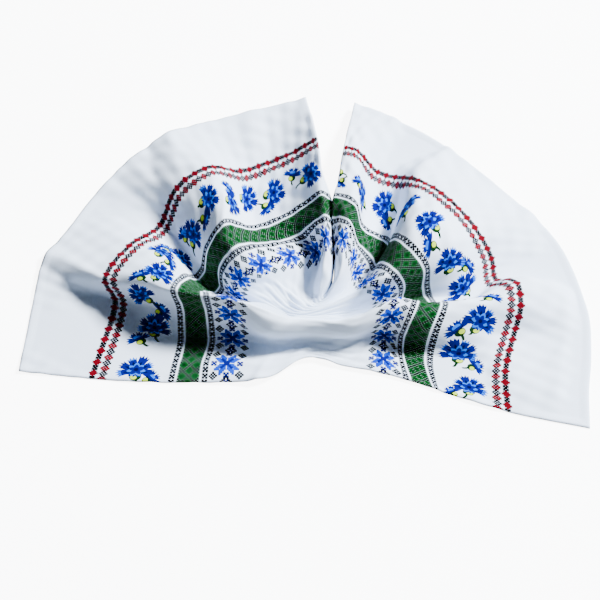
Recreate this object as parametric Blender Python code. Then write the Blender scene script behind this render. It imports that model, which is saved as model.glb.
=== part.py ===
"""Tea towel: one printed cotton cloth, 600 x 500 mm, gathered by the middle of its far
long hem and laid down as two fans that meet along a seam behind a shallow bowl.

The cloth is worked out from fold lines. A fold line is a straight line of the flat cloth
that runs along its length, from an end hem to the middle, on the crest or in the valley
of a fold. The tables say where each one passes at a few stations of its length, and a
smooth curve through them, first across the cloth and then along it, gives the sheet.
"""
from typing import NamedTuple

import bmesh
import bpy
import numpy as np

MILLIMETRE = 0.001

# The flat cloth, in millimetres.
CLOTH_LENGTH = 600.0
CLOTH_WIDTH = 500.0
CLOTH_THICKNESS = 1.5

# The valleys sink this much, in millimetres, before the floor holds them: it makes the
# places flat where the cloth lies on it.
PRESSED = 6.0

# Stations along a fold line, as distances from the end hem.
END_HEM = 0.0
RED_BORDER = 82.0
FLOWER_ROW = 130.0
GREEN_BAND = 177.0
STAR_ROW = 216.0
BOWL_WALL = 255.0
MIDDLE = CLOTH_LENGTH / 2

# Squares of the sheet, smaller by the gathered middle than in the fans.
GATHER_REACH = 60.0
SQUARES_ALONG_A_FAN = 18
SQUARES_ALONG_THE_GATHER = 20
SQUARES_ACROSS = 40

COTTON_COLOUR = (0.86, 0.88, 0.92, 1.0)
COTTON_ROUGHNESS = 0.9


class FoldLine(NamedTuple):
    """A line of the cloth along its length, with its place (right, back, up) in
    millimetres at each station. Across is its distance from the near long hem."""

    across: float
    hem: tuple
    border: tuple
    flowers: tuple
    band: tuple
    stars: tuple
    bowl: tuple


class MiddlePoint(NamedTuple):
    """A place on the line across the cloth's middle, where the fans are gathered."""

    across: float
    place: tuple


LEFT_FAN = (
    # near long hem
    FoldLine(0, (-290, -90, 8), (-215, -98, 6), (-166, -102, 8),
             (-119, -103, 12), (-80, -104, 14), (-41, -102, 16)),
    # valley in front of the long ridge
    FoldLine(50, (-285, -41, 4), (-203, -49, 0), (-157, -55, 0),
             (-111, -56, 0), (-74, -58, 2), (-37, -60, 2)),
    FoldLine(95, (-280, 2, 8), (-199, -7, 5), (-155, -21, 18),
             (-112, -33, 28), (-75, -36, 35), (-38, -46, 40)),
    # crest of the long ridge
    FoldLine(135, (-274, 40, 10), (-204, 4, 34), (-161, -12, 52),
             (-117, -32, 62), (-76, -37, 66), (-37, -32, 66)),
    FoldLine(185, (-250, 84, 6), (-180, 50, 28), (-143, 27, 40),
             (-113, -5, 34), (-79, -20, 32), (-41, -23, 30)),
    # deep valley behind the long ridge
    FoldLine(235, (-225, 127, 4), (-153, 88, 5), (-128, 53, 3),
             (-98, 19, 0), (-70, -3, 0), (-38, -11, 0)),
    FoldLine(290, (-190, 168, 14), (-134, 116, 36), (-111, 74, 36),
             (-94, 32, 34), (-75, 2, 28), (-44, -3, 14)),
    # crest of the rim's left corner
    FoldLine(335, (-157, 195, 18), (-102, 135, 46), (-86, 90, 56),
             (-78, 45, 54), (-60, 12, 50), (-40, -1, 30)),
    # shallow valley of the far side
    FoldLine(390, (-107, 224, 8), (-65, 154, 13), (-60, 108, 12),
             (-45, 66, 20), (-26, 37, 26), (-16, 7, 11)),
    FoldLine(445, (-51, 243, 4), (-25, 171, 13), (-18, 124, 17),
             (-7, 82, 22), (6, 50, 22), (10, 16, 12)),
    # far long hem, along the seam
    FoldLine(500, (2, 255, 12), (14, 176, 42), (19, 129, 52),
             (23, 85, 56), (26, 57, 42), (26, 26, 24)),
)

RIGHT_FAN = (
    # near long hem
    FoldLine(0, (285, -155, 2), (203, -139, 8), (155, -130, 8),
             (116, -114, 18), (79, -104, 24), (43, -95, 26)),
    # valley in front of the long ridge
    FoldLine(45, (288, -110, 2), (203, -94, 12), (160, -90, 0),
             (116, -79, 2), (83, -66, 6), (48, -62, 5)),
    FoldLine(90, (293, -65, 2), (212, -51, 8), (167, -56, 20),
             (123, -60, 34), (87, -50, 40), (49, -48, 42)),
    # crest of the long ridge
    FoldLine(135, (293, -20, 0), (220, -20, 32), (173, -26, 42),
             (127, -33, 44), (91, -30, 50), (51, -28, 50)),
    # narrow valley behind it
    FoldLine(180, (283, 25, 0), (202, 16, 12), (164, -7, 5),
             (117, -3, 8), (84, -12, 10), (46, -20, 8)),
    FoldLine(225, (268, 66, 5), (194, 42, 16), (158, 16, 27),
             (119, 0, 36), (80, -4, 30), (50, -13, 13)),
    # crest of the right lobe
    FoldLine(265, (244, 99, 6), (176, 64, 39), (146, 34, 56),
             (113, 10, 60), (82, 0, 46), (52, -8, 18)),
    FoldLine(320, (206, 141, 5), (141, 105, 45), (111, 72, 58),
             (89, 34, 45), (68, 12, 32), (52, -2, 12)),
    # deep valley beside the lip
    FoldLine(385, (156, 190, 0), (106, 141, 18), (97, 99, 5),
             (84, 57, 2), (54, 34, 2), (50, 4, 6)),
    FoldLine(425, (123, 215, 4), (79, 157, 7), (66, 109, 12),
             (58, 63, 25), (48, 36, 30), (48, 10, 14)),
    # rounded lip of the seam
    FoldLine(460, (91, 231, 10), (60, 163, 33), (60, 115, 45),
             (52, 70, 54), (44, 46, 48), (46, 18, 22)),
    # far long hem, along the seam
    FoldLine(500, (55, 246, 14), (42, 169, 36), (36, 123, 46),
             (36, 85, 46), (36, 60, 36), (38, 30, 18)),
)

GATHERED_MIDDLE = (
    MiddlePoint(0, (2, -88, 26)),
    MiddlePoint(50, (5, -63, 6)),
    MiddlePoint(75, (5, -56, 19)),
    MiddlePoint(100, (6, -48, 40)),
    MiddlePoint(120, (6, -38, 52)),
    MiddlePoint(140, (6, -29, 46)),
    MiddlePoint(165, (5, -27, 28)),
    MiddlePoint(190, (4, -26, 13)),
    MiddlePoint(235, (1, -22, 3)),
    MiddlePoint(290, (0, -17, 5)),
    MiddlePoint(335, (3, -12, 6)),
    MiddlePoint(390, (12, -7, 6)),
    MiddlePoint(445, (24, -1, 7)),
    MiddlePoint(500, (30, 9, 10)),
)


def clear_scene():
    """Remove every object that the file opened with."""
    for item in list(bpy.data.objects):
        bpy.data.objects.remove(item, do_unlink=True)


def smooth_curve(knots, values, wanted):
    """Read a smooth curve through values, which lie at rising knots, at the wanted
    places. The slope at a knot leans to its nearer neighbour."""
    knots = np.asarray(knots, float)
    values = np.asarray(values, float)
    shape = (-1,) + (1,) * (values.ndim - 1)
    gaps = np.diff(knots).reshape(shape)
    rises = np.diff(values, axis=0) / gaps
    inner = (rises[:-1] * gaps[1:] + rises[1:] * gaps[:-1]) / (gaps[:-1] + gaps[1:])
    slopes = np.concatenate([rises[:1], inner, rises[-1:]])
    left = np.clip(np.searchsorted(knots, wanted, side="right") - 1, 0, len(knots) - 2)
    gap = gaps[left]
    part = ((wanted - knots[left]) / gap.reshape(-1)).reshape(shape)
    start, end = values[left], values[left + 1]
    blend = part * part * (3 - 2 * part)
    lean_in = part * (1 - part) ** 2 * gap * slopes[left]
    lean_out = part * part * (1 - part) * gap * slopes[left + 1]
    return start + (end - start) * blend + lean_in - lean_out


def fan_sections(fan, across):
    """The stations of one fan, hem first, each read across the cloth."""
    knots = [line.across for line in fan]
    stations = [line[1:] for line in fan]
    return smooth_curve(knots, stations, across)


def column_places():
    """Distances from the left end hem at which the sheet has its columns."""
    fan = np.linspace(0.0, MIDDLE - GATHER_REACH, SQUARES_ALONG_A_FAN + 1)
    gather = np.linspace(fan[-1], CLOTH_LENGTH - fan[-1], SQUARES_ALONG_THE_GATHER + 1)
    return np.concatenate([fan, gather[1:-1], CLOTH_LENGTH - fan[::-1]])


def cloth_points():
    """Places of the sheet's middle surface: rows across the cloth, columns along it."""
    across = np.linspace(0.0, CLOTH_WIDTH, SQUARES_ACROSS + 1)
    along = column_places()
    left = fan_sections(LEFT_FAN, across)
    right = fan_sections(RIGHT_FAN, across)[:, ::-1]
    middle_knots = [point.across for point in GATHERED_MIDDLE]
    middle_places = [point.place for point in GATHERED_MIDDLE]
    middle = smooth_curve(middle_knots, middle_places, across)[:, None]
    sections = np.concatenate([left, middle, right], axis=1)
    from_hem = [END_HEM, RED_BORDER, FLOWER_ROW, GREEN_BAND, STAR_ROW, BOWL_WALL]
    stations = from_hem + [MIDDLE] + [CLOTH_LENGTH - place for place in from_hem[::-1]]
    return smooth_curve(stations, sections.transpose(1, 0, 2), along).transpose(1, 0, 2)


def laid_on_the_floor(points):
    """Press the sheet's low places flat, so that its underside touches the floor, and
    centre the sheet over the origin."""
    laid = points.copy()
    laid[..., 2] = np.maximum(laid[..., 2] - PRESSED, 0.0) + CLOTH_THICKNESS / 2
    for axis in (0, 1):
        laid[..., axis] -= (laid[..., axis].min() + laid[..., axis].max()) / 2
    return laid


def cotton_material():
    """White cotton, matt."""
    material = bpy.data.materials.new("white_cotton")
    material.use_nodes = True
    shader = material.node_tree.nodes["Principled BSDF"]
    shader.inputs["Base Color"].default_value = COTTON_COLOUR
    shader.inputs["Roughness"].default_value = COTTON_ROUGHNESS
    shader.inputs["Metallic"].default_value = 0.0
    return material


def towel():
    """The whole cloth as one sheet with its thickness."""
    points = laid_on_the_floor(cloth_points()) * MILLIMETRE
    sheet = bmesh.new()
    rows = [[sheet.verts.new(place) for place in row] for row in points]
    for near, far in zip(rows, rows[1:]):
        for column in range(len(near) - 1):
            corners = (near[column], near[column + 1], far[column + 1], far[column])
            sheet.faces.new(corners)
    mesh = bpy.data.meshes.new("towel")
    sheet.to_mesh(mesh)
    sheet.free()
    mesh.shade_smooth()
    cloth = bpy.data.objects.new("towel", mesh)
    bpy.context.scene.collection.objects.link(cloth)
    mesh.materials.append(cotton_material())
    thicken = cloth.modifiers.new("thickness", "SOLIDIFY")
    thicken.thickness = CLOTH_THICKNESS * MILLIMETRE
    thicken.offset = 0.0
    return cloth


def main():
    """Build the part."""
    clear_scene()
    towel()


main()
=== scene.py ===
"""Tea towel of printed cotton, gathered at the middle of its far long hem and laid down
as two fans that meet along a seam behind a shallow bowl.

The cloth is one sheet, worked out from the same fold lines as its solid, in millimetres,
and finished with narrow sewn hems. Its print is drawn on a grid of stitches that covers
the flat cloth, so it follows every fold. Sizes are in millimetres unless a docstring
says otherwise.
"""
import logging
import math
from collections.abc import Callable
from dataclasses import dataclass
from enum import Enum

import bpy
import numpy as np
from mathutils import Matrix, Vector


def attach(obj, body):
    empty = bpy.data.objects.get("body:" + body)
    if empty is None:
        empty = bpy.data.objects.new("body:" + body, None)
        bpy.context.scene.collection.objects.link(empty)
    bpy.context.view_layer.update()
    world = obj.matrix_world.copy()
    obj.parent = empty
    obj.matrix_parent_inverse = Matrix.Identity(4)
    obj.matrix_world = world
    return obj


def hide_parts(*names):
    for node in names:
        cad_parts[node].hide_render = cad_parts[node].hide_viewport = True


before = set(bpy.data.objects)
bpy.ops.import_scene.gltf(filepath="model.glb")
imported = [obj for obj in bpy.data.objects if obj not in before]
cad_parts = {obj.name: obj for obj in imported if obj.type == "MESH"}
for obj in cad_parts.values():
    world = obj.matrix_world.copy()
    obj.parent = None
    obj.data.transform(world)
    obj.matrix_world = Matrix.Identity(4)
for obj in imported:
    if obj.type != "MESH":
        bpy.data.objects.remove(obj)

log = logging.getLogger("tea_towel")

MILLIMETRE = 0.001
CLOTH_LENGTH = 600.0
CLOTH_WIDTH = 500.0
STITCHES_ACROSS = 296
STITCH = CLOTH_WIDTH / STITCHES_ACROSS
PRINT_MAP = "flat_cloth"
BAKE_MAP = "OFBake"

# Two whole numbers that differ by less than this are the same.
SAME_WHOLE = 0.4

# Where the two sides lie on the map for a bake, and the height of the rim's strip there.
BAKE_PRINTED_CORNER = (0.01, 0.36)
BAKE_PRINTED_SIZE = (0.98, 0.63)
BAKE_BACK_CORNER = (0.01, 0.02)
BAKE_BACK_SIZE = (0.98, 0.30)
BAKE_RIM = (0.002, 0.012)


# The drape


# A fold line is a straight line of the flat cloth along its length, on the crest or in the
# valley of a fold. Each row here is one: its distance from the near long hem, and its
# points (right, back, up) at the stations, which are distances from the end hem.
STATIONS = (0.0, 82.0, 130.0, 177.0, 216.0, 255.0)

LEFT_FAN = (
    (0, (-290, -90, 8), (-215, -98, 6), (-166, -102, 7), (-119, -103, 8), (-80, -103, 8), (-41, -101, 12)),
    (22, (-288, -68, 7), (-210, -77, 5), (-162, -82, 6), (-116, -82, 9), (-79, -81, 11), (-40, -82, 10)),
    (50, (-285, -41, 4), (-203, -49, 0), (-157, -55, 0), (-111, -56, 0), (-74, -58, 2), (-37, -64, 2)),
    (72, (-283, -20, 5), (-198, -29, 1), (-156, -39, 7), (-111, -46, 12), (-74, -46, 15), (-37, -55, 11)),
    (95, (-280, 2, 8), (-195, -7, 5), (-155, -21, 18), (-112, -35, 30), (-75, -44, 37), (-38, -60, 32)),
    (135, (-274, 40, 10), (-204, 4, 34), (-161, -12, 52), (-117, -32, 62), (-76, -38, 64), (-37, -47, 53)),
    (185, (-250, 84, 6), (-180, 50, 28), (-143, 27, 40), (-113, -5, 34), (-79, -21, 32), (-40, -36, 26)),
    (235, (-225, 127, 4), (-153, 88, 5), (-128, 53, 3), (-98, 19, 0), (-70, -3, 0), (-38, -16, 2)),
    (290, (-190, 168, 14), (-134, 116, 36), (-111, 74, 36), (-94, 32, 34), (-71, 3, 27), (-42, -3, 11)),
    (335, (-157, 195, 18), (-102, 135, 46), (-86, 90, 56), (-78, 45, 54), (-51, 12, 43), (-34, 7, 16)),
    (390, (-107, 224, 8), (-65, 154, 13), (-60, 108, 12), (-45, 66, 20), (-12, 41, 23), (-11, 10, 10)),
    (430, (-66, 238, 5), (-36, 167, 12), (-29, 121, 14), (-17, 78, 19), (14, 54, 12), (9, 13, 8)),
    (466, (-31, 248, 6), (-9, 173, 23), (-3, 127, 31), (10, 86, 39), (22, 50, 44), (20, 15, 31)),
    (484, (-13, 252, 9), (4, 175, 34), (11, 129, 46), (21, 87, 49), (28, 50, 37), (27, 14, 25)),
    (500, (2, 255, 12), (14, 176, 42), (19, 129, 48), (31, 86, 36), (31, 50, 13), (28, 14, 9)),
)

RIGHT_FAN = (
    (0, (285, -155, 2), (203, -136, 7), (155, -120, 8), (120, -106, 8), (80, -93, 8), (42, -85, 10)),
    (50, (288, -105, 2), (203, -89, 10), (160, -85, 1), (111, -72, 4), (81, -56, 12), (48, -65, 12)),
    (70, (291, -85, 2), (207, -70, 9), (163, -70, 8), (112, -61, 14), (82, -49, 19), (49, -58, 19)),
    (92, (293, -63, 2), (213, -49, 9), (168, -55, 21), (115, -58, 34), (86, -50, 39), (49, -60, 31)),
    (135, (293, -20, 0), (220, -20, 32), (173, -26, 42), (127, -33, 46), (91, -31, 52), (51, -48, 44)),
    (155, (289, 0, 0), (217, -1, 34), (170, -17, 28), (124, -22, 30), (90, -25, 33), (50, -41, 29)),
    (180, (283, 25, 0), (201, 17, 8), (164, -7, 5), (118, -8, 6), (86, -17, 6), (47, -30, 8)),
    (228, (266, 69, 5), (193, 44, 18), (157, 17, 29), (111, 0, 14), (83, -15, 10), (53, -19, 9)),
    (264, (245, 98, 6), (176, 64, 39), (146, 34, 56), (112, 5, 40), (80, -9, 27), (53, -15, 16)),
    (284, (231, 114, 6), (164, 79, 45), (134, 47, 62), (104, 11, 53), (71, -6, 42), (50, -11, 23)),
    (304, (217, 129, 6), (151, 93, 47), (121, 61, 62), (93, 26, 50), (64, 6, 25), (48, -5, 17)),
    (335, (195, 153, 4), (132, 115, 41), (107, 80, 50), (84, 42, 27), (61, 14, 6), (46, 0, 8)),
    (365, (172, 175, 6), (116, 128, 34), (101, 92, 26), (82, 47, 12), (58, 20, 6), (43, 3, 6)),
    (385, (156, 190, 0), (106, 141, 18), (97, 99, 6), (79, 51, 17), (54, 27, 11), (42, 6, 7)),
    (430, (118, 218, 4), (76, 158, 9), (66, 109, 14), (58, 63, 27), (50, 38, 24), (40, 9, 14)),
    (466, (85, 234, 11), (57, 164, 35), (56, 116, 48), (49, 73, 54), (40, 46, 47), (37, 13, 32)),
    (484, (69, 240, 13), (49, 167, 37), (45, 121, 49), (39, 82, 52), (33, 48, 42), (33, 14, 28)),
    (500, (55, 246, 14), (42, 169, 35), (36, 123, 44), (29, 86, 47), (31, 50, 27), (31, 14, 18)),
)

# The line across the cloth's middle, where the fans are gathered: distances from the near
# long hem, each with its place.
GATHERED_MIDDLE = (
    (0, (2, -76, 11)), (45, (5, -64, 12)), (70, (5, -56, 18)), (88, (6, -57, 28)),
    (105, (6, -54, 37)), (118, (6, -50, 41)), (140, (6, -45, 27)), (158, (5, -40, 9)),
    (174, (5, -37, 9)), (194, (3, -31, 13)), (235, (-3, -27, 9)), (290, (-5, -22, 7)),
    (335, (0, -18, 7)), (390, (8, -13, 7)), (430, (14, -9, 7)), (466, (19, -4, 10)),
    (500, (22, 2, 9)),
)


def smooth_curve(knots: object, values: object, wanted: np.ndarray) -> np.ndarray:
    """Read a smooth curve at the wanted places.

    Args:
        knots: rising places at which the curve is known.
        values: what it is there, in the first axis.
        wanted: places to read it at.

    Returns:
        The values there, the slope at each knot leaning to its nearer neighbour.
    """
    knots = np.asarray(knots, float)
    values = np.asarray(values, float)
    shape = (-1,) + (1,) * (values.ndim - 1)
    gaps = np.diff(knots).reshape(shape)
    rises = np.diff(values, axis=0) / gaps
    inner = (rises[:-1] * gaps[1:] + rises[1:] * gaps[:-1]) / (gaps[:-1] + gaps[1:])
    slopes = np.concatenate([rises[:1], inner, rises[-1:]])
    left = np.clip(np.searchsorted(knots, wanted, side="right") - 1, 0, len(knots) - 2)
    gap = gaps[left]
    part = ((wanted - knots[left]) / gap.reshape(-1)).reshape(shape)
    start, end = values[left], values[left + 1]
    blend = part * part * (3 - 2 * part)
    lean_in = part * (1 - part) ** 2 * gap * slopes[left]
    lean_out = part * part * (1 - part) * gap * slopes[left + 1]
    return start + (end - start) * blend + lean_in - lean_out


@dataclass(frozen=True)
class Crease:
    """A small fold between two places (along, across) of the flat cloth, along being the
    distance from the left end hem. A negative height is a furrow.

    inner_loss is the share of its height that it loses towards its inner end, and fall
    how sharply it ends beside it.
    """

    start: tuple
    end: tuple
    height: float
    reach: float
    inner_loss: float = 0.7
    fall: float = 1.6

    def rise(self, along: np.ndarray, across: np.ndarray) -> np.ndarray:
        """Work out how far the cloth is lifted.

        Args:
            along: the grid's distances from the left end hem.
            across: the grid's distances from the near long hem.

        Returns:
            The lift at each place, fading away beside the crease and at its inner end.
        """
        run = np.subtract(self.end, self.start)
        aside = (along - self.start[0], across - self.start[1])
        share = (aside[0] * run[0] + aside[1] * run[1]) / (run @ run)
        held = np.clip(share, 0.0, 1.0)
        away = np.hypot(aside[0] - held * run[0], aside[1] - held * run[1])
        fade = 1.0 - self.inner_loss * held ** 2
        return self.height * fade * np.exp(-(away / self.reach) ** self.fall)


CREASES = (
    Crease((0, 349), (66, 304), 5.0, 11.0),
    Crease((0, 320), (70, 268), -4.0, 10.0),
    Crease((0, 146), (80, 136), 5.0, 9.0),
    Crease((0, 436), (84, 412), 3.5, 9.0),
    Crease((0, 252), (60, 232), 3.0, 10.0),
    Crease((22, 60), (58, 150), 2.5, 11.0),
    Crease((246, 0), (262, 42), 3.5, 6.0),
    Crease((252, 352), (300, 404), 3.0, 6.0),
    Crease((262, 300), (300, 345), -2.0, 6.0),
    Crease((600, 384), (516, 372), 9.0, 11.0),
    Crease((600, 414), (516, 408), -5.0, 10.0),
    Crease((570, 30), (576, 200), 4.0, 13.0),
    Crease((518, 171), (592, 158), 6.0, 7.0),
    Crease((600, 268), (520, 240), 4.0, 10.0),
    Crease((600, 452), (530, 440), 3.0, 8.0),
)


@dataclass(frozen=True)
class Gather:
    """The small pleats that run out from the gathered middle, between the first and the
    last distance from the near hem. slant is the length in which one drifts aside."""

    middle: float = CLOTH_LENGTH / 2
    first: float = 205.0
    last: float = 425.0
    pitch: float = 27.0
    slant: float = 40.0
    height: float = 1.8
    reach: float = 30.0

    def rise(self, along: np.ndarray, across: np.ndarray) -> np.ndarray:
        """Work out how far the cloth is lifted; see Crease.rise."""
        share = np.clip((across - self.first) / (self.last - self.first), 0.0, 1.0)
        wave = np.cos(2 * math.pi * across / self.pitch + along / self.slant)
        near = np.exp(-((along - self.middle) / self.reach) ** 2)
        return self.height * wave * near * np.sin(math.pi * share)


@dataclass(frozen=True)
class Rumple:
    """The cloth's faint unevenness, in crossing waves, each with its length along the
    cloth and across it and with its start."""

    height: float = 0.40
    waves: tuple = ((61.0, 17.0, 0.4), (-23.0, 47.0, 1.9), (37.0, -29.0, 3.1),
                    (90.0, 70.0, 5.0))

    def rise(self, along: np.ndarray, across: np.ndarray) -> np.ndarray:
        """Work out how far the cloth is lifted; see Crease.rise."""
        total = 0.0
        for first, second, start in self.waves:
            total = total + np.sin(2 * math.pi * (along / first + across / second) + start)
        return self.height * total


@dataclass(frozen=True)
class Drape:
    """The cloth's middle surface as it lies.

    pressed is how far the valleys sink before the floor holds them, soft how gently the
    cloth turns from the floor into a fold, and rest_height the middle surface's height
    where the cloth lies flat, less the little that soft adds there.
    """

    left_fan: tuple = LEFT_FAN
    right_fan: tuple = RIGHT_FAN
    middle: tuple = GATHERED_MIDDLE
    details: tuple = CREASES + (Gather(), Rumple())
    pressed: float = 6.0
    soft: float = 0.8
    rest_height: float = 0.67

    def lines(self, across: np.ndarray) -> tuple[np.ndarray, np.ndarray]:
        """Read every station across the cloth.

        Args:
            across: distances from the near long hem.

        Returns:
            The stations' places along the cloth, and the points at each of them.
        """
        read = []
        for rows in (self.left_fan, self.middle, self.right_fan):
            knots, places = [row[0] for row in rows], [row[1:] for row in rows]
            read.append(smooth_curve(knots, places, across))
        left, middle, right = read
        stations = STATIONS + (CLOTH_LENGTH / 2,)
        stations += tuple(CLOTH_LENGTH - place for place in STATIONS[::-1])
        sections = np.concatenate([left, middle, right[:, ::-1]], axis=1)
        return np.array(stations), sections

    def surface(self, across: np.ndarray, along: np.ndarray) -> np.ndarray:
        """Work out the surface on a grid.

        Args:
            across: distances of the rows from the near long hem.
            along: distances of the columns from the left end hem.

        Returns:
            Points in rows and columns, over the origin, with the floor at 0.
        """
        stations, sections = self.lines(across)
        points = smooth_curve(stations, sections.transpose(1, 0, 2), along)
        points = points.transpose(1, 0, 2)
        for detail in self.details:
            points[..., 2] += detail.rise(along[None, :], across[:, None])
        for axis in (0, 1):
            low, high = points[..., axis].min(), points[..., axis].max()
            points[..., axis] -= (low + high) / 2
        sunk = points[..., 2] - self.pressed
        lifted = (sunk + np.sqrt(sunk * sunk + self.soft ** 2)) / 2
        points[..., 2] = lifted + self.rest_height
        return points


@dataclass(frozen=True)
class Cloth:
    """The towel's cloth: its thickness, its hems and the squares of its mesh.

    hem_rows are the mesh's first rows from an edge, as shares of the hem's width.
    """

    thickness: float = 1.0
    hem_width: float = 7.0
    hem_thickness: float = 1.9
    hem_rows: tuple = (0.0, 0.35, 0.85, 1.15)
    square: float = 3.0

    def grid(self) -> tuple[np.ndarray, np.ndarray]:
        """Rows and columns of the mesh, with a narrow one on each side of a hem's fold."""
        def places(size: float) -> np.ndarray:
            """Places along one side of the cloth."""
            hem = np.array(self.hem_rows) * self.hem_width
            count = int(round(size / self.square))
            inner = np.linspace(hem[-1], size - hem[-1], count)
            return np.concatenate([hem[:-1], inner, size - hem[-2::-1]])
        return places(CLOTH_WIDTH), places(CLOTH_LENGTH)

    def half_thickness(self, across: np.ndarray, along: np.ndarray) -> np.ndarray:
        """Half the sheet's thickness on the grid, greater where a hem is folded over."""
        edge = np.minimum(np.minimum(across, CLOTH_WIDTH - across)[:, None],
                          np.minimum(along, CLOTH_LENGTH - along)[None, :])
        in_hem = edge < self.hem_width
        return np.where(in_hem, self.hem_thickness, self.thickness) / 2

    def build(self, drape: Drape) -> bpy.types.Object:
        """Make the closed sheet with its flat map and its map for a bake.

        Args:
            drape: the surface that the cloth follows.

        Returns:
            The towel's object.
        """
        across, along = self.grid()
        middle = drape.surface(across, along)
        half = self.half_thickness(across, along)
        middle[..., 2] = np.maximum(middle[..., 2], half)
        step_along = np.gradient(middle, axis=1)
        step_across = np.gradient(middle, axis=0)
        normal = np.cross(step_along, step_across)
        normal /= np.linalg.norm(normal, axis=2, keepdims=True)
        top = middle + normal * half[..., None]
        bottom = middle - normal * half[..., None]
        bottom[..., 2] = np.maximum(bottom[..., 2], 0.0)
        return self.mesh(top, bottom, across, along)

    def mesh(self, top: np.ndarray, bottom: np.ndarray,
             across: np.ndarray, along: np.ndarray) -> bpy.types.Object:
        """Join the two sides of the sheet into one closed mesh.

        Args:
            top: points of the printed side.
            bottom: points of the back.
            across: the rows' places on the flat cloth.
            along: the columns' places on the flat cloth.

        Returns:
            The towel's object, printed side in material slot 0 and back in slot 1.
        """
        rows, columns = top.shape[:2]
        count = rows * columns
        index = np.arange(count).reshape(rows, columns)
        corners = (index[:-1, :-1], index[:-1, 1:], index[1:, 1:], index[1:, :-1])
        upper = np.stack(corners, -1).reshape(-1, 4)
        lower = upper[:, ::-1] + count
        rim = np.concatenate([index[0], index[1:, -1], index[-1, -2::-1], index[-2:0:-1, 0]])
        after = np.roll(rim, -1)
        side = np.stack([rim, rim + count, after + count, after], -1)
        faces = np.concatenate([upper, lower, side])
        points = np.concatenate([top.reshape(-1, 3), bottom.reshape(-1, 3)]) * MILLIMETRE
        mesh = bpy.data.meshes.new("towel_cloth")
        mesh.from_pydata(points.tolist(), [], faces.tolist())
        flat = np.stack(np.meshgrid(along, across), -1).reshape(-1, 2)
        self.add_maps(mesh, faces, flat, count, len(upper))
        slots = np.zeros(len(faces), int)
        slots[len(upper):2 * len(upper)] = 1
        mesh.polygons.foreach_set("material_index", slots)
        mesh.polygons.foreach_set("use_smooth", np.ones(len(faces), bool))
        mesh.validate()
        mesh.update()
        cloth = bpy.data.objects.new("printed_towel", mesh)
        bpy.context.scene.collection.objects.link(cloth)
        return cloth

    def add_maps(self, mesh: bpy.types.Mesh, faces: np.ndarray, flat: np.ndarray,
                 count: int, top_faces: int) -> None:
        """Give the mesh its flat map, in metres of cloth, and its map for a bake.

        Args:
            mesh: the closed sheet.
            faces: its faces' corners.
            flat: the place on the flat cloth of each of one side's points.
            count: how many points one side has.
            top_faces: how many faces one side has.
        """
        place = flat[faces % count]
        first = mesh.uv_layers.new(name=PRINT_MAP)
        first.data.foreach_set("uv", (place * MILLIMETRE).astype(np.float32).ravel())
        share = place / (CLOTH_LENGTH, CLOTH_WIDTH)
        bake = share * BAKE_PRINTED_SIZE + BAKE_PRINTED_CORNER
        back = slice(top_faces, 2 * top_faces)
        bake[back] = share[back] * BAKE_BACK_SIZE + BAKE_BACK_CORNER
        sides = len(faces) - 2 * top_faces
        run = np.arange(sides) / sides
        for corner, (step, height) in enumerate(((0, 0), (0, 1), (1, 1), (1, 0))):
            bake[2 * top_faces:, corner, 0] = run + step / sides
            bake[2 * top_faces:, corner, 1] = BAKE_RIM[height]
        second = mesh.uv_layers.new(name=BAKE_MAP)
        second.data.foreach_set("uv", bake.astype(np.float32).ravel())
        mesh.uv_layers.active = first


# The print


def linear(red: int, green: int, blue: int) -> tuple[float, float, float, float]:
    """Turn a colour in steps of 255 into the shader's linear one, by the sRGB curve."""
    def one(step: int) -> float:
        """Turn one channel."""
        share = step / 255
        return share / 12.92 if share <= 0.04045 else ((share + 0.055) / 1.055) ** 2.4
    return one(red), one(green), one(blue), 1.0


class Ink(Enum):
    """The print's colours."""

    BLACK = linear(2, 2, 4)
    RED = linear(88, 0, 14)
    DARK_RED = linear(100, 0, 16)
    PALE_GREEN = linear(120, 158, 138)
    GREEN = linear(0, 58, 15)
    DARK_GREEN = linear(0, 26, 6)
    STAR_BLUE = linear(0, 52, 168)
    DEEP_BLUE = linear(4, 8, 90)
    NAVY = linear(0, 0, 48)
    ROYAL = linear(0, 9, 94)
    SKY = linear(16, 94, 204)
    CALYX = linear(176, 200, 50)
    STEM = linear(4, 36, 10)


def joined_by(operation: str) -> Callable:
    """Make one of Field's operators out of one of the Math node's operations."""
    def joined(self: "Field", other: object) -> "Field":
        """This number joined with another."""
        return self.math(operation, other)
    return joined


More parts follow.
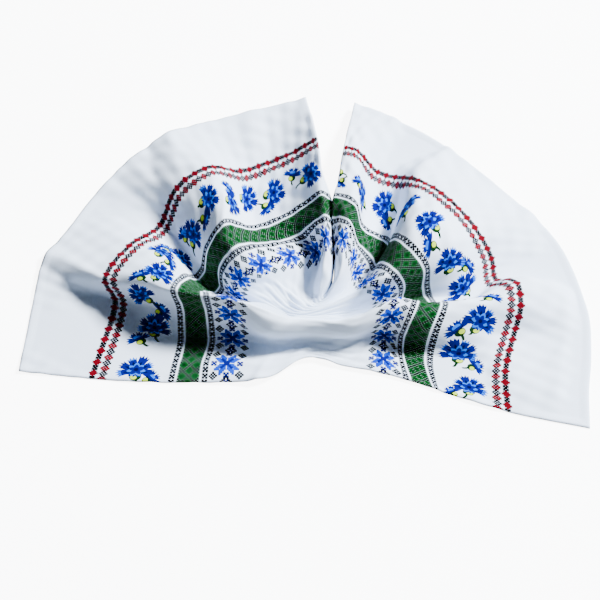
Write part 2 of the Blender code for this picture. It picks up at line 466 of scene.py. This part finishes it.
class Field:
    """A number that changes over the cloth: the output of one of a node tree's nodes.

    A mask is such a number, 1 inside and 0 outside. & is the smaller of two numbers, |
    the greater, which is also either of two masks, and * is also both of two masks.
    """

    __add__ = joined_by("ADD")
    __sub__ = joined_by("SUBTRACT")
    __mul__ = joined_by("MULTIPLY")
    __truediv__ = joined_by("DIVIDE")
    __or__ = joined_by("MAXIMUM")
    __and__ = joined_by("MINIMUM")
    __lt__ = joined_by("LESS_THAN")
    __gt__ = joined_by("GREATER_THAN")

    def __init__(self, tree: bpy.types.NodeTree, socket: object) -> None:
        """Keep the tree and the output socket, or a plain number in its place."""
        self.tree = tree
        self.socket = socket

    def feed(self, target: object) -> None:
        """Set an input socket to this number."""
        if isinstance(self.socket, (int, float)):
            target.default_value = float(self.socket)
        else:
            self.tree.links.new(self.socket, target)

    def math(self, operation: str, *others: object) -> "Field":
        """Join this number with others by one of the Math node's operations."""
        node = self.tree.nodes.new("ShaderNodeMath")
        node.operation = operation
        for place, term in enumerate((self,) + others):
            term = term if isinstance(term, Field) else Field(self.tree, term)
            term.feed(node.inputs[place])
        return Field(self.tree, node.outputs[0])

    def __rsub__(self, other: object) -> "Field":
        """Difference from a plain number."""
        return Field(self.tree, other).math("SUBTRACT", self)

    def size(self) -> "Field":
        """The number without its sign."""
        return self.math("ABSOLUTE")

    def whole(self) -> "Field":
        """The whole number below."""
        return self.math("FLOOR")

    def part(self) -> "Field":
        """What is left above the whole number below."""
        return self.math("FRACT")

    def off(self, centre: float, pitch: float) -> "Field":
        """Distance to the nearest of the places that lie a pitch apart, one at centre."""
        turned = (self - centre) / pitch + 0.5
        return ((turned.part() - 0.5) * pitch).size()

    def same(self, other: object) -> "Field":
        """Mask of where two whole numbers are the same."""
        return self.math("COMPARE", other, SAME_WHOLE)

    def even(self) -> "Field":
        """Mask of where a whole number is even."""
        return self.off(0.0, 2.0) < SAME_WHOLE

    def soft_step(self, low: float, high: float) -> "Field":
        """0 up to low, 1 from high and smooth between."""
        node = self.tree.nodes.new("ShaderNodeMapRange")
        node.interpolation_type = "SMOOTHSTEP"
        self.feed(node.inputs["Value"])
        node.inputs["From Min"].default_value = low
        node.inputs["From Max"].default_value = high
        return Field(self.tree, node.outputs["Result"])


def mixed(tree: bpy.types.NodeTree, share: Field, first: object,
          second: object) -> bpy.types.NodeSocket:
    """Mix two colours, each a socket or a plain colour, which go into the Mix node's
    sockets 6 and 7 and come out of its socket 2.

    Args:
        tree: the tree to do it in.
        share: how much of the second colour shows, from 0 to 1.
        first: the colour at 0.
        second: the colour at 1.

    Returns:
        The socket with the mixed colour.
    """
    node = tree.nodes.new("ShaderNodeMix")
    node.data_type = "RGBA"
    share.feed(node.inputs[0])
    for place, colour in ((6, first), (7, second)):
        if isinstance(colour, tuple):
            node.inputs[place].default_value = colour
        else:
            tree.links.new(colour, node.inputs[place])
    return node.outputs[2]


class Group:
    """A shader node group with named inputs and outputs, built once."""

    def __init__(self, name: str, inputs: tuple, outputs: tuple) -> None:
        """Make the group's tree and its sockets, all of them plain numbers."""
        self.tree = bpy.data.node_groups.new(name, "ShaderNodeTree")
        for labels, side in ((inputs, "INPUT"), (outputs, "OUTPUT")):
            for label in labels:
                self.tree.interface.new_socket(label, in_out=side,
                                               socket_type="NodeSocketFloat")
        self.source = self.tree.nodes.new("NodeGroupInput")
        self.target = self.tree.nodes.new("NodeGroupOutput")

    def take(self, label: str) -> Field:
        """One of the group's inputs."""
        return Field(self.tree, self.source.outputs[label])

    def give(self, outputs: dict) -> None:
        """Set the group's outputs, by their labels."""
        for label, field in outputs.items():
            field.feed(self.target.inputs[label])

    def place(self, tree: bpy.types.NodeTree, **inputs: Field) -> dict:
        """Put the group in a material's tree.

        Args:
            tree: the material's node tree.
            inputs: what feeds each input, by its label in lower case.

        Returns:
            The placed group's outputs, by their labels.
        """
        node = tree.nodes.new("ShaderNodeGroup")
        node.node_tree = self.tree
        for socket in node.inputs:
            if socket.name.lower() in inputs:
                inputs[socket.name.lower()].feed(socket)
        return {socket.name: Field(tree, socket) for socket in node.outputs}


class StitchChart:
    """A part of the print that is counted in stitches from the nearer end hem and from
    the near long hem. A limit that ends in a half lies between two counts.

    bold is how far a stitch spreads over its neighbours on each side, as a share of its
    width. fine is the same for the labels that start with the word Fine.
    """

    name: str
    labels: tuple
    bold: float = 0.34
    fine: float = 0.24

    def marks(self, column: Field, row: Field) -> dict:
        """The inks' masks for a stitch.

        Args:
            column: the stitch's number from the nearer end hem.
            row: its number from the near long hem.

        Returns:
            A mask for each label.
        """
        raise NotImplementedError

    def group(self) -> Group:
        """Build the chart's group, in which a place is marked where one of the four
        places around it, as far away as the spread, lies in a marked stitch."""
        made = Group(self.name, ("Along", "Across"), self.labels)
        total = {}
        for spread in (self.bold, self.fine):
            for aside, above in ((-1, -1), (-1, 1), (1, -1), (1, 1)):
                column = (made.take("Along") + (0.5 + aside * spread)).whole()
                row = (made.take("Across") + (0.5 + above * spread)).whole()
                for label, mask in self.marks(column, row).items():
                    if label.startswith("Fine") == (spread == self.fine):
                        total[label] = (total[label] | mask) if label in total else mask
        made.give(total)
        return made


@dataclass(frozen=True)
class BorderRows(StitchChart):
    """Two rows of diamonds near the end hem: filled red ones with small black crosses
    between them, and open black and red ones in turn."""

    name: str = "border_diamonds"
    labels: tuple = ("Red", "Dark Red", "Black", "Fine Black")
    outer: int = 48
    inner: int = 54
    pitch: int = 8
    first: int = 4
    bold: float = 0.38
    fine: float = 0.26

    def marks(self, column: Field, row: Field) -> dict:
        """The border's masks for a stitch; see the chart's own words."""
        on, between = row.off(self.first, self.pitch), row.off(0, self.pitch)
        out = (column - self.outer).size()
        near = out + on
        cross = out.same(between) * (out < 1.5)
        deep = (column - self.inner).size()
        black_ring = (deep + on < 2.5) * (deep + on).even()
        red_ring = (deep + between < 2.5) * (deep + between).even()
        return {"Red": near < 2.5, "Dark Red": red_ring, "Black": cross,
                "Fine Black": black_ring}


@dataclass(frozen=True)
class LatticeBand(StitchChart):
    """The green band: three columns of green diamonds parted by black dotted lines, with
    a row of black crosses on each side."""

    name: str = "green_lattice"
    labels: tuple = ("Ground", "Green", "Dark Green", "Black", "Fine Black")
    centre: int = 105
    half_width: int = 6
    to_crosses: int = 10
    step: int = 4

    def marks(self, column: Field, row: Field) -> dict:
        """The band's masks for a stitch; see the chart's own words."""
        out = (column - self.centre).size()
        middle = out + row.off(0, 2 * self.step)
        outer = (out - self.step).size() + row.off(self.step, 2 * self.step)
        near = middle & outer
        band = out < self.half_width + 0.5
        dots = (near > 3.5) * (column + row + self.centre).even() * band
        cross = (out - self.to_crosses).size()
        crosses = cross.same(row.off(0, self.step)) * (cross < 1.5)
        return {"Ground": band, "Green": near < 2.5, "Dark Green": near < 0.5,
                "Black": crosses, "Fine Black": dots}


@dataclass(frozen=True)
class StarRow(StitchChart):
    """The row of eight-petalled stars, with small crosses on their axes, open diamonds at
    their corners and rings between them."""

    name: str = "star_row"
    labels: tuple = ("Blue", "Deep Blue", "Fine Blue", "Fine Black")
    column: int = 128
    pitch: int = 24
    first: int = 12
    arm: int = 8
    petal: int = 4

    def marks(self, column: Field, row: Field) -> dict:
        """The stars' masks for a stitch; see the chart's own words."""
        out = (column - self.column).size()
        away = row.off(self.first, self.pitch)
        far, near = out | away, out & away
        blue = (near > 0.5) * (near < self.petal + 0.5)
        blue = blue * (far > near + 0.5) * (far < near + 3.5)
        heart = (near < 0.5) * (far < 1.5)
        spokes = far.same(near) * (far < 3.5)
        arm = (far - self.arm).size()
        crosses = arm.same(near) * (near < 1.5)
        window = arm + (near - self.arm).size()
        ring = self.pitch / 2 - away
        ring_cross = out.same(ring) * (out < 1.5)
        return {"Blue": blue, "Deep Blue": heart | spokes | crosses, "Fine Blue": ring_cross,
                "Fine Black": (window < 2.5) * window.even() | (out + ring).same(3)}


# The flowers of each end: distances from the near long hem and from the end hem, and the
# turn in degrees, 0 with the stem towards the near hem.
LEFT_BIG = (
    (18, 122, 5), (76, 132, 0), (116, 118, 40), (159, 141, 345), (196, 121, 355),
    (228, 133, 10), (276, 132, 20), (319, 121, 345), (358, 134, 0), (393, 119, 355),
    (430, 124, 350), (482, 128, 0),
)
LEFT_SMALL = (
    (7, 141, 315), (56, 114, 35), (96, 142, 310), (147, 118, 37), (184, 142, 310),
    (214, 110, 60), (262, 116, 60), (304, 138, 317), (357, 111, 62), (417, 142, 300),
    (458, 108, 62),
)
RIGHT_BIG = (
    (24, 120, 0), (73, 136, 355), (110, 121, 20), (160, 137, 0), (208, 127, 330),
    (246, 134, 15), (297, 128, 0), (345, 131, 20), (409, 119, 0), (450, 134, 0),
    (510, 122, 0),
)
RIGHT_SMALL = (
    (8, 141, 315), (56, 113, 55), (100, 145, 310), (142, 110, 40), (190, 143, 315),
    (229, 112, 70), (279, 149, 318), (340, 113, 46), (400, 141, 315), (466, 125, 61),
    (497, 141, 304),
)


def flower_ramp(tree: bpy.types.NodeTree, flowers: tuple,
                across: Field) -> bpy.types.NodeSocket:
    """Look up the flower in whose stretch of the cloth a point lies, with a stepped ramp.

    Args:
        tree: the tree to make it in.
        flowers: a row of flowers, in order across the cloth.
        across: distance from the near long hem.

    Returns:
        The ramp's colour, whose channels are shares of the width, the length and a turn.
    """
    node = tree.nodes.new("ShaderNodeValToRGB")
    node.color_ramp.interpolation = "CONSTANT"
    steps = node.color_ramp.elements
    borders = [0.0]
    for one, other in zip(flowers, flowers[1:]):
        borders.append((one[0] + other[0]) / 2 / CLOTH_WIDTH)
    while len(steps) < len(borders):
        steps.new(0.5)
    for step, border, (place, from_hem, turn) in zip(steps, borders, flowers):
        step.position = border
        step.color = (place / CLOTH_WIDTH, from_hem / CLOTH_LENGTH, turn / 360, 1.0)
    (across / CLOTH_WIDTH).feed(node.inputs[0])
    return node.outputs["Color"]


class Petals:
    """A fan of toothed petals around a point, in a flower's own millimetres.

    full is a petal's length as a share of the reach, flank how it widens from its gap,
    and uneven how much the petals differ in length, by a sine of their number.
    """

    full: float = 0.94
    flank: tuple = (0.02, 0.40)
    uneven: float = 0.06
    uneven_turn: tuple = (2.3, 1.0)

    def __init__(self, right: Field, up: Field, foot: tuple, reach: float,
                 open_to: float, count: int, teeth: int) -> None:
        """Lay out the fan.

        Args:
            right: place to the flower's right.
            up: place above its middle.
            foot: the point where the petals meet.
            reach: how far the longest tooth comes.
            open_to: the fan's half angle in degrees, from straight up.
            count: how many petals it has.
            teeth: how many teeth each petal has.
        """
        aside, above = right - foot[0], up - foot[1]
        self.away = (aside * aside + above * above).math("SQRT")
        self.reach = self.away / reach
        self.lean = aside.math("ARCTAN2", above) * (180 / math.pi)
        place = (self.lean + open_to) * (count / (2 * open_to))
        self.number = place.whole()
        share = place.part()
        self.bulge = 1 - (share * 2 - 1).size()
        self.tooth = 1 - ((share * teeth).part() * 2 - 1).size()
        self.inside = self.lean.size() < open_to

    def mask(self, waist: float, cut: float) -> Field:
        """Where the petals are.

        Args:
            waist: how far the gaps between the petals come in, as a share of the reach.
            cut: how deep the teeth are cut, as a share of the reach.

        Returns:
            The mask.
        """
        turn, start = self.uneven_turn
        longer = (self.number * turn + start).math("SINE") * self.uneven
        width = self.bulge.soft_step(*self.flank)
        edge = width * (self.full - waist - cut) + self.tooth * cut + (longer + waist)
        return (self.reach < edge) * self.inside

    def core(self, inner: float, outer: float) -> Field:
        """A dark wedge at each petal's foot, pointed outwards."""
        tip = self.bulge * self.bulge * (outer - inner) + inner
        return (self.reach < tip) * self.inside

    def tips(self, start: float, every: int) -> Field:
        """The light tips of every so-many-th petal."""
        chosen = self.number.off(0, every) < SAME_WHOLE
        return (self.reach > start) * chosen * self.inside


def disc(right: Field, up: Field, place: tuple, half: tuple) -> Field:
    """Mask of an oval.

    Args:
        right: place to the flower's right.
        up: place above its middle.
        place: the oval's middle.
        half: its half width and half height.

    Returns:
        The mask.
    """
    aside, above = (right - place[0]) / half[0], (up - place[1]) / half[1]
    return aside * aside + above * above < 1.0


def stem(right: Field, up: Field, top: tuple, length: float, width: float,
         bend: float) -> Field:
    """Mask of a bent stem that hangs from a point.

    Args:
        right: place to the flower's right.
        up: place above its middle.
        top: where it starts.
        length: how far down it goes.
        width: its width.
        bend: how far its end turns to the right.

    Returns:
        The mask.
    """
    share = (up - top[1]) / -length
    middle = share * share * bend + top[0]
    along = (share > 0.0) * (share < 1.0)
    return ((right - middle).size() < width / 2) * along


FLOWER_LABELS = ("Petals", "Core", "Tips", "Halo", "Front", "Heart", "Cup", "Cup Light",
                 "Stem")


@dataclass(frozen=True)
class Cornflower:
    """The large flower: a ring of ragged florets around a small one, over a round cup.
    widen makes it broader than it is high."""

    reach: float = 19.0
    widen: float = 1.12

    def group(self) -> Group:
        """Build the flower around the origin, stem down, in its own millimetres."""
        made = Group("cornflower", ("Right", "Up"), FLOWER_LABELS)
        right, up = made.take("Right") / self.widen, made.take("Up")
        ring = Petals(right, up, (0.0, -3.5), self.reach, 128.0, 6, 4)
        short = Petals(right, up * -1, (0.0, 2.5), 0.62 * self.reach, 60.0, 3, 2)
        halo = Petals(right, up, (0.0, -3.0), 0.50 * self.reach, 180.0, 7, 1)
        front = Petals(right, up, (0.0, -3.2), 0.40 * self.reach, 180.0, 5, 1)
        petals = ring.mask(0.54, 0.17)
        made.give({
            "Petals": petals | short.mask(0.5, 0.2),
            "Core": ring.core(0.34, 0.62) * petals,
            "Tips": ring.tips(0.70, 2) * (ring.tooth > 0.35) * petals,
            "Halo": halo.mask(0.55, 0.36),
            "Front": front.mask(0.50, 0.40),
            "Heart": halo.away < 2.0,
            "Cup": disc(right, up, (0.4, -13.0), (5.2, 4.8)),
            "Cup Light": disc(right, up, (-1.2, -13.4), (2.9, 2.7)),
            "Stem": stem(right, up, (1.4, -16.0), 9.0, 2.5, 3.6),
        })
        return made


@dataclass(frozen=True)
class SideFlower:
    """The small flower, seen more from the side."""

    reach: float = 12.8
    widen: float = 1.15

    def group(self) -> Group:
        """Build the flower around the origin, stem down, in its own millimetres."""
        made = Group("side_flower", ("Right", "Up"), FLOWER_LABELS)
        right, up = made.take("Right") / self.widen, made.take("Up")
        fan = Petals(right, up, (0.0, -5.0), self.reach, 98.0, 4, 3)
        petals = fan.mask(0.52, 0.20)
        made.give({
            "Petals": petals,
            "Core": fan.core(0.20, 0.52) * petals,
            "Tips": (fan.reach > 0.74) * (fan.tooth < 0.5) * petals,
            "Halo": disc(right, up, (-0.4, -0.6), (3.8, 2.4)),
            "Front": disc(right, up, (0.3, -2.8), (4.6, 1.2)),
            "Heart": Field(made.tree, 0.0),
            "Cup": disc(right, up, (0.8, -8.0), (4.8, 4.4)),
            "Cup Light": disc(right, up, (-0.8, -8.4), (2.7, 2.5)),
            "Stem": stem(right, up, (1.8, -11.0), 6.5, 2.4, 2.2),
        })
        return made


@dataclass(frozen=True)
class Weave:
    """Plain weave: the pitch and depth of its threads, and how strongly they show."""

    pitch: float = 0.55
    depth: float = 0.12
    strength: float = 0.06

    def group(self) -> Group:
        """Build the height of the threads, over and under each other in turn."""
        made = Group("plain_weave", ("Along", "Across"), ("Height",))
        along = made.take("Along") / self.pitch
        across = made.take("Across") / self.pitch
        warp = (along * math.pi).math("SINE").size()
        weft = (across * math.pi).math("SINE").size()
        over = (along.whole() + across.whole()).even()
        made.give({"Height": warp * over + weft * (1 - over)})
        return made


@dataclass(frozen=True)
class Cotton:
    """White cotton: the strength of the print on it, from 0 to 1, and its looks.

    dull is the shade of its darkest threads, and streaks is how often the shade changes
    in a millimetre across the threads and along them.
    """

    name: str
    print_strength: float
    white: tuple = linear(220, 232, 251)
    dull: float = 0.93
    streaks: tuple = (1.1, 0.05)
    roughness: float = 0.88
    gloss: float = 0.04


class PrintedCotton:
    """Makes the towel's two materials, the printed side and the back."""

    def __init__(self) -> None:
        """Build the groups that both materials share."""
        self.border = BorderRows().group()
        self.lattice = LatticeBand().group()
        self.stars = StarRow().group()
        self.cornflower = Cornflower().group()
        self.side_flower = SideFlower().group()
        self.threads = Weave()
        self.weave = self.threads.group()

    def material(self, finish: Cotton) -> bpy.types.Material:
        """Make one material.

        Args:
            finish: which of the two sides it is for.

        Returns:
            The material.
        """
        made = bpy.data.materials.new(finish.name)
        made.use_nodes = True
        tree = made.node_tree
        shader = tree.nodes["Principled BSDF"]
        shader.inputs["Roughness"].default_value = finish.roughness
        shader.inputs["Specular IOR Level"].default_value = finish.gloss
        flat = tree.nodes.new("ShaderNodeUVMap")
        flat.uv_map = PRINT_MAP
        parts = tree.nodes.new("ShaderNodeSeparateXYZ")
        tree.links.new(flat.outputs["UV"], parts.inputs[0])
        along = Field(tree, parts.outputs["X"]) / MILLIMETRE
        across = Field(tree, parts.outputs["Y"]) / MILLIMETRE
        colour = self.print_colour(tree, finish, along, across)
        tree.links.new(colour, shader.inputs["Base Color"])
        self.add_bump(tree, shader, along, across)
        return made

    def print_colour(self, tree: bpy.types.NodeTree, finish: Cotton,
                     along: Field, across: Field) -> bpy.types.NodeSocket:
        """Lay the print over the white cloth.

        Args:
            tree: the material's tree.
            finish: the side's finish.
            along: distance from the left end hem.
            across: distance from the near long hem.

        Returns:
            The socket with the cloth's colour.
        """
        from_hem = along & (CLOTH_LENGTH - along)
        stitches = {"along": from_hem / STITCH, "across": across / STITCH}
        border = self.border.place(tree, **stitches)
        lattice = self.lattice.place(tree, **stitches)
        stars = self.stars.place(tree, **stitches)
        layers = [
            (border["Red"], Ink.RED), (border["Dark Red"], Ink.DARK_RED),
            (lattice["Ground"], Ink.PALE_GREEN),
            (lattice["Green"], Ink.GREEN), (lattice["Dark Green"], Ink.DARK_GREEN),
            (stars["Blue"], Ink.STAR_BLUE), (stars["Deep Blue"], Ink.DEEP_BLUE),
            (stars["Fine Blue"], Ink.DEEP_BLUE),
            (lattice["Black"] | lattice["Fine Black"], Ink.BLACK),
            (border["Black"] | border["Fine Black"] | stars["Fine Black"], Ink.BLACK),
        ]
        layers += self.flowers(tree, along, across, from_hem)
        colour = self.cloth_white(tree, finish, along, across)
        for mask, ink in layers:
            colour = mixed(tree, mask * finish.print_strength, colour, ink.value)
        return colour

    def cloth_white(self, tree: bpy.types.NodeTree, finish: Cotton,
                    along: Field, across: Field) -> bpy.types.NodeSocket:
        """The unprinted cloth, a little uneven along its threads."""
        quick, slow = finish.streaks
        warp = self.thread_noise(tree, along * quick, across * slow)
        weft = self.thread_noise(tree, along * slow, across * quick)
        dark = tuple(finish.dull * part for part in finish.white)
        return mixed(tree, (warp + weft) * 0.5, dark, finish.white)

    @staticmethod
    def thread_noise(tree: bpy.types.NodeTree, along: Field, across: Field) -> Field:
        """Noise that is stretched along one set of threads."""
        join = tree.nodes.new("ShaderNodeCombineXYZ")
        along.feed(join.inputs[0])
        across.feed(join.inputs[1])
        noise = tree.nodes.new("ShaderNodeTexNoise")
        noise.inputs["Scale"].default_value = 1.0
        noise.inputs["Detail"].default_value = 2.0
        tree.links.new(join.outputs[0], noise.inputs["Vector"])
        return Field(tree, noise.outputs["Fac"])

    def flowers(self, tree: bpy.types.NodeTree, along: Field, across: Field,
                from_hem: Field) -> list:
        """Both kinds of flower on both ends of the cloth.

        Args:
            tree: the material's tree.
            along: distance from the left end hem.
            across: distance from the near long hem.
            from_hem: distance from the nearer end hem.

        Returns:
            Masks with the inks that fill them, the lowest first.
        """
        on_left = along < CLOTH_LENGTH / 2
        big = self.local(tree, (LEFT_BIG, RIGHT_BIG), on_left, across, from_hem)
        small = self.local(tree, (LEFT_SMALL, RIGHT_SMALL), on_left, across, from_hem)
        side = self.side_flower.place(tree, right=small[0], up=small[1])
        bloom = self.cornflower.place(tree, right=big[0], up=big[1])
        layers = []
        for flower in (side, bloom):
            layers += [
                (flower["Stem"], Ink.STEM), (flower["Cup"], Ink.STEM),
                (flower["Cup Light"], Ink.CALYX), (flower["Petals"], Ink.ROYAL),
                (flower["Tips"], Ink.SKY), (flower["Core"], Ink.NAVY),
                (flower["Halo"], Ink.SKY), (flower["Front"], Ink.ROYAL),
                (flower["Heart"], Ink.NAVY),
            ]
        return layers

    @staticmethod
    def local(tree: bpy.types.NodeTree, tables: tuple, on_left: Field,
              across: Field, from_hem: Field) -> tuple[Field, Field]:
        """Places measured from the nearest flower, turned as it is.

        Args:
            tree: the material's tree.
            tables: the flowers of the left end and of the right end.
            on_left: mask of the left end.
            across: distance from the near long hem.
            from_hem: distance from the nearer end hem.

        Returns:
            Millimetres to the flower's right and up.
        """
        left, right = (flower_ramp(tree, table, across) for table in tables)
        split = tree.nodes.new("ShaderNodeSeparateColor")
        tree.links.new(mixed(tree, on_left, right, left), split.inputs[0])
        above = across - Field(tree, split.outputs[0]) * CLOTH_WIDTH
        aside = from_hem - Field(tree, split.outputs[1]) * CLOTH_LENGTH
        turn = Field(tree, split.outputs[2]) * (2 * math.pi)
        sine, cosine = turn.math("SINE"), turn.math("COSINE")
        return aside * cosine + above * sine, above * cosine - aside * sine

    def add_bump(self, tree: bpy.types.NodeTree, shader: bpy.types.Node,
                 along: Field, across: Field) -> None:
        """Raise the threads of the weave."""
        height = self.weave.place(tree, along=along, across=across)["Height"]
        bump = tree.nodes.new("ShaderNodeBump")
        bump.inputs["Strength"].default_value = self.threads.strength
        bump.inputs["Distance"].default_value = self.threads.depth * MILLIMETRE
        height.feed(bump.inputs["Height"])
        tree.links.new(bump.outputs["Normal"], shader.inputs["Normal"])


# The towel, and where it is seen


@dataclass(frozen=True)
class TeaTowel:
    """The whole towel; its sides are the printed one and the back, where the print shows
    through."""

    drape: Drape = Drape()
    cloth: Cloth = Cloth()
    sides: tuple = (Cotton("printed_cotton", print_strength=1.0),
                    Cotton("cotton_back", print_strength=0.14))

    def build(self) -> bpy.types.Object:
        """Make the towel in its materials and tie it to its solid."""
        towel = self.cloth.build(self.drape)
        cotton = PrintedCotton()
        for finish in self.sides:
            towel.data.materials.append(cotton.material(finish))
        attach(towel, "root")
        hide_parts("towel")
        return towel


@dataclass(frozen=True)
class Lamp:
    """A square light that faces the towel: its place and side in metres, its power in
    watts and its linear colour."""

    name: str
    place: tuple
    side: float
    power: float
    colour: tuple

    def build(self) -> None:
        """Make the light."""
        data = bpy.data.lights.new(self.name, "AREA")
        data.size = self.side
        data.energy = self.power
        data.color = self.colour
        made = bpy.data.objects.new(self.name, data)
        made.location = self.place
        made.rotation_euler = (-Vector(self.place)).to_track_quat("-Z", "Y").to_euler()
        bpy.context.scene.collection.objects.link(made)


@dataclass(frozen=True)
class Studio:
    """The floor, the lights and the camera, in metres, with the lens and film in
    millimetres. floor_glow is the floor's own light, which only the camera sees."""

    floor_size: float = 6.0
    floor_colour: tuple = linear(200, 202, 204)
    floor_roughness: float = 0.9
    floor_glow: float = 8.0
    air_colour: tuple = (0.82, 0.90, 1.0, 1.0)
    air_glow: float = 0.06
    elevation: float = 58.0
    distance: float = 2.2
    lens: float = 126.9
    film: float = 36.0
    aim: tuple = (-0.0067, -0.050, -0.00525)
    lamps: tuple = (
        Lamp("key", (2.40, 1.22, 2.72), 0.75, 960.0, (0.92, 0.965, 1.0)),
        Lamp("fill", (-0.8, -1.4, 2.0), 2.2, 3.0, (0.70, 0.85, 1.0)),
    )

    def floor(self) -> bpy.types.Object:
        """Make the plain pale floor."""
        half = self.floor_size / 2
        mesh = bpy.data.meshes.new("floor")
        corners = [(-half, -half, 0), (half, -half, 0), (half, half, 0), (-half, half, 0)]
        mesh.from_pydata(corners, [], [(0, 1, 2, 3)])
        made = bpy.data.objects.new("floor", mesh)
        bpy.context.scene.collection.objects.link(made)
        paint = bpy.data.materials.new("pale_floor")
        paint.use_nodes = True
        shader = paint.node_tree.nodes["Principled BSDF"]
        shader.inputs["Base Color"].default_value = self.floor_colour
        shader.inputs["Roughness"].default_value = self.floor_roughness
        shader.inputs["Specular IOR Level"].default_value = 0.0
        seen = paint.node_tree.nodes.new("ShaderNodeLightPath").outputs["Is Camera Ray"]
        paint.node_tree.links.new(seen, shader.inputs["Emission Color"])
        shader.inputs["Emission Strength"].default_value = self.floor_glow
        mesh.materials.append(paint)
        return made

    def camera(self) -> bpy.types.Object:
        """Make the camera at the photograph's angle."""
        data = bpy.data.cameras.new("camera")
        data.lens = self.lens
        data.sensor_width = self.film
        made = bpy.data.objects.new("camera", data)
        bpy.context.scene.collection.objects.link(made)
        tilt = math.radians(self.elevation)
        back = Vector((0.0, -math.cos(tilt), math.sin(tilt)))
        made.location = Vector(self.aim) + back * self.distance
        made.rotation_euler = (math.radians(90) - tilt, 0.0, 0.0)
        bpy.context.scene.camera = made
        return made

    def build(self) -> None:
        """Set up everything around the towel."""
        self.floor()
        self.camera()
        for lamp in self.lamps:
            lamp.build()
        world = bpy.data.worlds.new("studio_air")
        world.use_nodes = True
        air = world.node_tree.nodes["Background"]
        air.inputs["Color"].default_value = self.air_colour
        air.inputs["Strength"].default_value = self.air_glow
        bpy.context.scene.world = world


def main() -> None:
    """Build the studio and the towel."""
    logging.basicConfig(level=logging.INFO, format="%(message)s")
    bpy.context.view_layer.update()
    Studio().build()
    towel = TeaTowel().build()
    log.info("towel: %d faces", len(towel.data.polygons))


if __name__ == "__main__":
    main()
